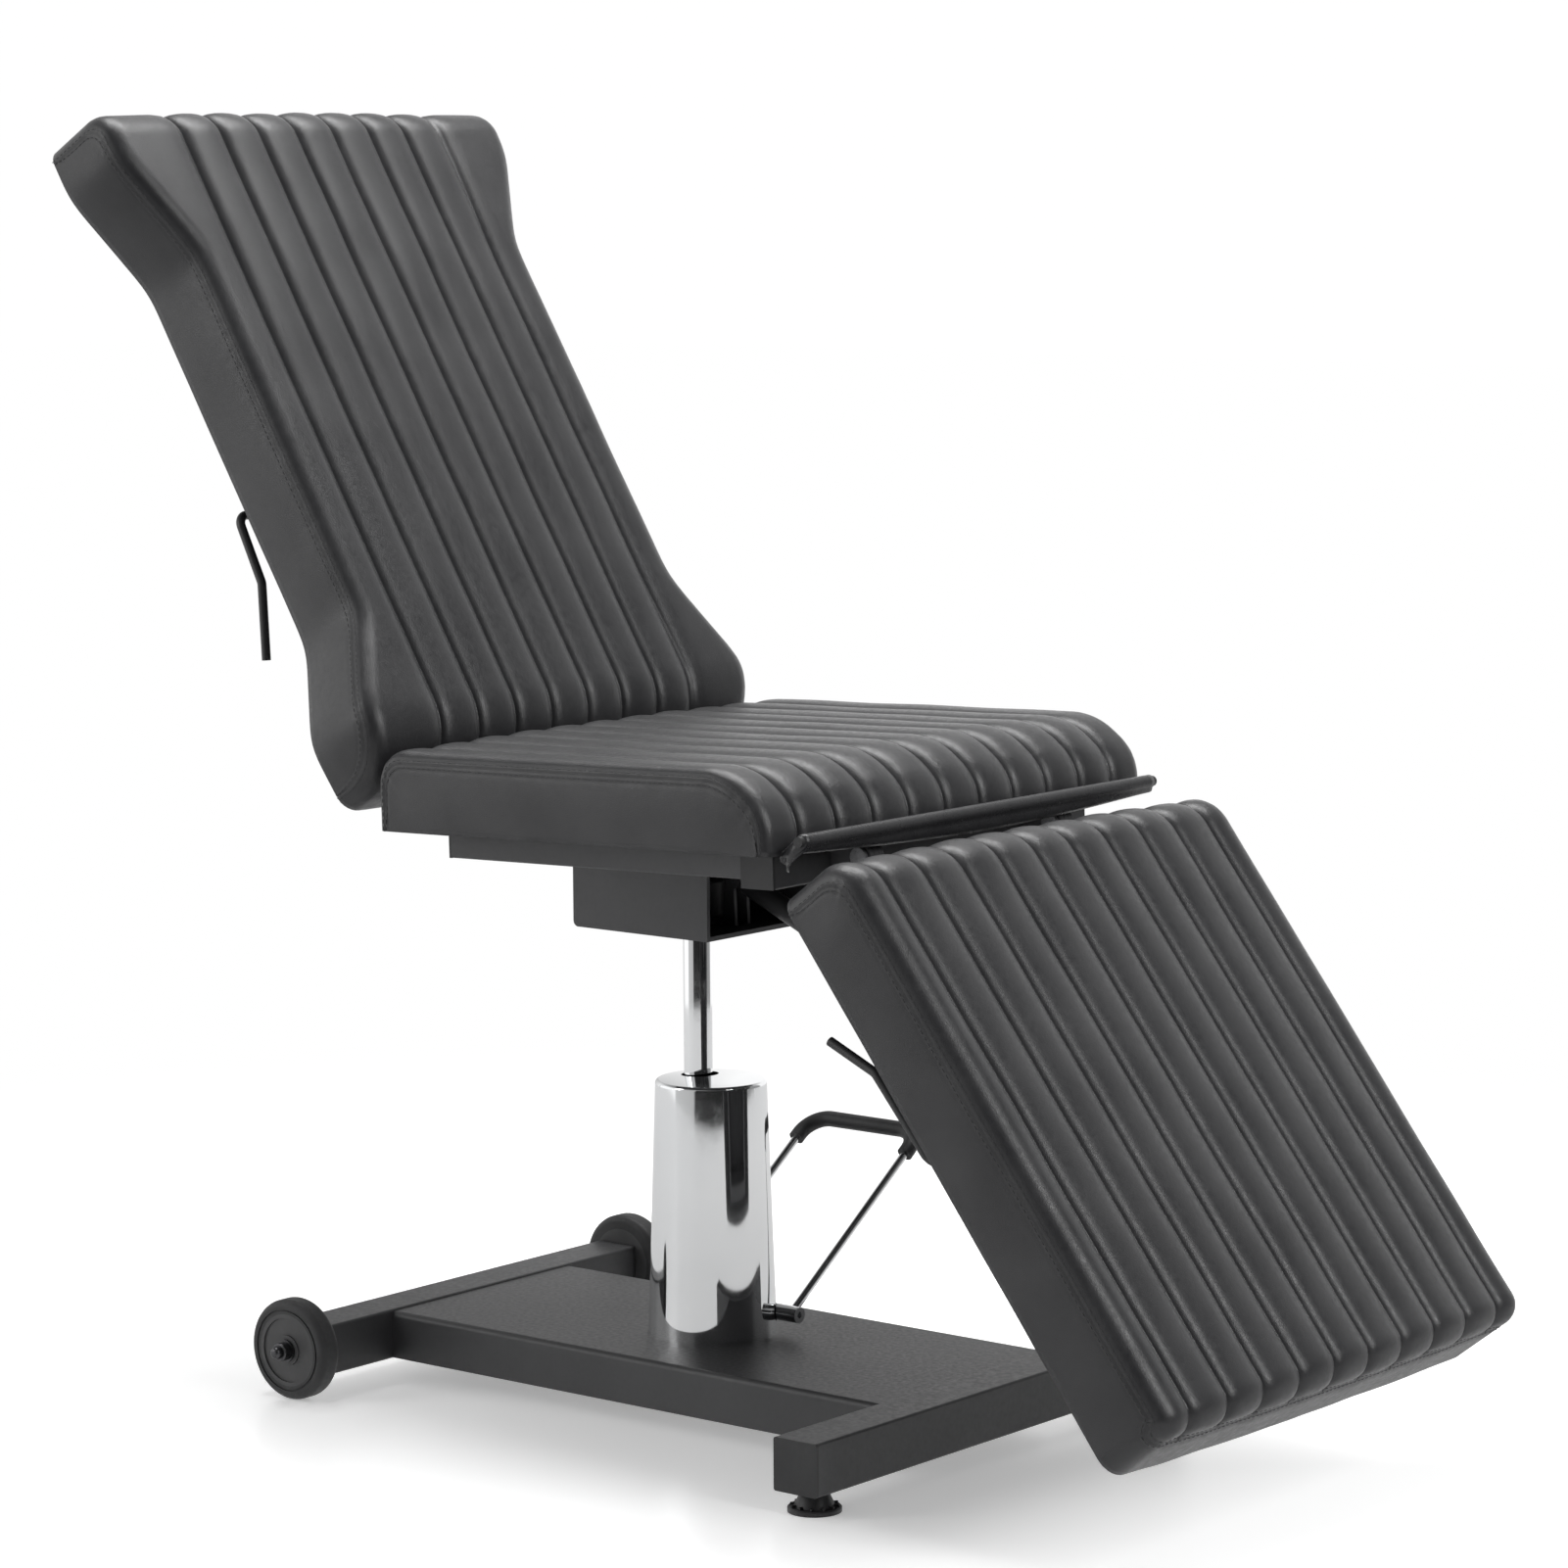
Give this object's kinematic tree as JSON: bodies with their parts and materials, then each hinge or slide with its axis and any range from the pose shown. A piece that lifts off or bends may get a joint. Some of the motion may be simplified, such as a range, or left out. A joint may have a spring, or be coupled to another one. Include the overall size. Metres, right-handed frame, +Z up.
{
  "type": "facial treatment bed",
  "caption": "Facial treatment bed: quilted back, seat and leg cushions hinged on a steel frame, raised by a pump column with a foot pedal on a wheeled base.",
  "frame": {"origin": "on the floor, on the axis of the lift column's piston", "axes": "+X towards the feet of a person lying on the bed, +Y towards that person's left (the side away from the release levers), +Z up"},
  "size_m": [1.3581, 0.58, 1.273],
  "materials": {
    "frame_paint": "satin",
    "cushion_vinyl": "satin",
    "flap_vinyl": "satin",
    "plywood": "matte",
    "chrome": "polished",
    "zinc_steel": "satin",
    "pump_casting": "matte",
    "tyre_rubber": "matte",
    "grip_rubber": "matte",
    "black_plastic": "matte",
    "grey_plastic": "matte"
  },
  "bodies": {
    "base": {"base_tray": "frame_paint", "front_beam": "frame_paint", "rear_beam": "frame_paint", "front_beam_caps": "black_plastic", "rear_beam_caps": "black_plastic", "foot_nuts": "zinc_steel", "axle_bolts": "zinc_steel", "pump_body": "pump_casting", "pump_cover": "chrome", "pump_bolts": "zinc_steel"},
    "pedal": {"pedal_shaft": "chrome", "pedal_bosses": "chrome", "pedal_set_screws": "zinc_steel", "pedal_fork": "chrome", "pedal_sleeve": "grip_rubber"},
    "wheel_far": {"wheel_tyre_far": "tyre_rubber", "wheel_hub_far": "grey_plastic"},
    "wheel_near": {"wheel_tyre_near": "tyre_rubber", "wheel_hub_near": "grey_plastic"},
    "foot_far": {"foot_pad_far": "black_plastic", "foot_stem_far": "zinc_steel"},
    "foot_near": {"foot_pad_near": "black_plastic", "foot_stem_near": "zinc_steel"},
    "column": {"piston": "chrome"},
    "seat": {"seat_carrier": "frame_paint", "swivel_hub": "frame_paint", "seat_rails": "frame_paint", "front_cross_tube": "frame_paint", "rear_cross_tube": "frame_paint", "seat_bearers": "frame_paint", "seat_frame_caps": "black_plastic", "seat_board": "plywood", "seat_cushion": "cushion_vinyl", "back_hinge_cheeks": "frame_paint", "leg_hinge_cheeks": "frame_paint", "hinge_pins": "zinc_steel", "back_spring_foot": "frame_paint", "leg_spring_foot": "frame_paint"},
    "backrest": {"back_uprights": "frame_paint", "back_cross_bars": "frame_paint", "back_hinge_ears": "frame_paint", "back_board": "plywood", "back_cushion": "cushion_vinyl", "back_spring_bracket": "frame_paint"},
    "back_lever": {"back_lever": "frame_paint"},
    "back_spring_cylinder": {"back_spring_cylinder": "frame_paint"},
    "back_spring_rod": {"back_spring_rod": "chrome"},
    "leg_rest": {"leg_tubes": "frame_paint", "leg_cross_bars": "frame_paint", "leg_hinge_ears": "frame_paint", "leg_board": "plywood", "leg_cushion": "cushion_vinyl", "leg_spring_bracket": "frame_paint"},
    "leg_lever": {"leg_lever": "frame_paint"},
    "leg_spring_cylinder": {"leg_spring_cylinder": "frame_paint"},
    "leg_spring_rod": {"leg_spring_rod": "chrome"},
    "gap_cover": {"gap_rod": "chrome", "gap_rod_plugs": "black_plastic", "gap_flap": "flap_vinyl"}
  },
  "joints": [
    {"name": "pedal_press", "type": "hinge", "parent": "base", "child": "pedal", "pos_m": [0.016, 0.036, 0.0885], "axis": [-1, 0, 0], "range_deg": [0, 25], "stiffness_Nm_per_rad": 6, "springref_deg": -20.05},
    {"name": "wheel_spin_far", "type": "hinge", "parent": "base", "child": "wheel_far", "pos_m": [-0.311, 0.25, 0.05], "axis": [0, 1, 0], "continuous": true},
    {"name": "wheel_spin_near", "type": "hinge", "parent": "base", "child": "wheel_near", "pos_m": [-0.311, -0.25, 0.05], "axis": [0, 1, 0], "continuous": true},
    {"name": "foot_level_far", "type": "slide", "parent": "base", "child": "foot_far", "axis": [0, 0, 1], "range_m": [-0.015, 0]},
    {"name": "foot_level_near", "type": "slide", "parent": "base", "child": "foot_near", "axis": [0, 0, 1], "range_m": [-0.015, 0]},
    {"name": "column_lift", "type": "slide", "parent": "base", "child": "column", "axis": [0, 0, 1], "range_m": [-0.06, 0.13]},
    {"name": "seat_swivel", "type": "hinge", "parent": "column", "child": "seat", "pos_m": [0, 0, 0.46], "axis": [0, 0, 1], "continuous": true},
    {"name": "backrest_recline", "type": "hinge", "parent": "seat", "child": "backrest", "pos_m": [-0.18, 0, 0.59], "axis": [0, -1, 0], "range_deg": [0, 60.2]},
    {"name": "back_lever_pull", "type": "hinge", "parent": "backrest", "child": "back_lever", "pos_m": [-0.40855, -0.1, 0.8663], "axis": [0, -1, 0], "range_deg": [0, 10], "stiffness_Nm_per_rad": 4, "springref_deg": -11.46},
    {"name": "back_spring_pivot", "type": "hinge", "parent": "seat", "child": "back_spring_cylinder", "pos_m": [-0.15, 0.04, 0.5], "axis": [0, -1, 0], "range_deg": [0, 49.6]},
    {"name": "back_spring_stroke", "type": "slide", "parent": "back_spring_cylinder", "child": "back_spring_rod", "axis": [-0.5979, 0, 0.8016], "range_m": [-0.0605, 0]},
    {"name": "leg_raise", "type": "hinge", "parent": "seat", "child": "leg_rest", "pos_m": [0.327, 0, 0.583], "axis": [0, -1, 0], "range_deg": [0, 54.2]},
    {"name": "leg_lever_pull", "type": "hinge", "parent": "leg_rest", "child": "leg_lever", "pos_m": [0.4682, -0.1, 0.3283], "axis": [0, 1, 0], "range_deg": [0, 10], "stiffness_Nm_per_rad": 4, "springref_deg": -11.46},
    {"name": "leg_spring_pivot", "type": "hinge", "parent": "seat", "child": "leg_spring_cylinder", "pos_m": [0.054, 0, 0.522], "axis": [0, -1, 0], "range_deg": [0, 26.4]},
    {"name": "leg_spring_stroke", "type": "slide", "parent": "leg_spring_cylinder", "child": "leg_spring_rod", "axis": [0.9115, 0, -0.4114], "range_m": [0, 0.1155]},
    {"name": "gap_cover_swing", "type": "hinge", "parent": "seat", "child": "gap_cover", "pos_m": [0.3261, 0, 0.6006], "axis": [0, -1, 0], "range_deg": [0, 26.6]}
  ],
  "couplings": [
    {"joint": "back_spring_pivot", "follows": "backrest_recline", "ratio": 0.8209},
    {"joint": "back_spring_stroke", "follows": "backrest_recline", "m_per_rad": -0.0573},
    {"joint": "leg_spring_pivot", "follows": "leg_raise", "ratio": 0.4847},
    {"joint": "leg_spring_stroke", "follows": "leg_raise", "m_per_rad": 0.12173},
    {"joint": "gap_cover_swing", "follows": "leg_raise", "ratio": 0.487}
  ]
}
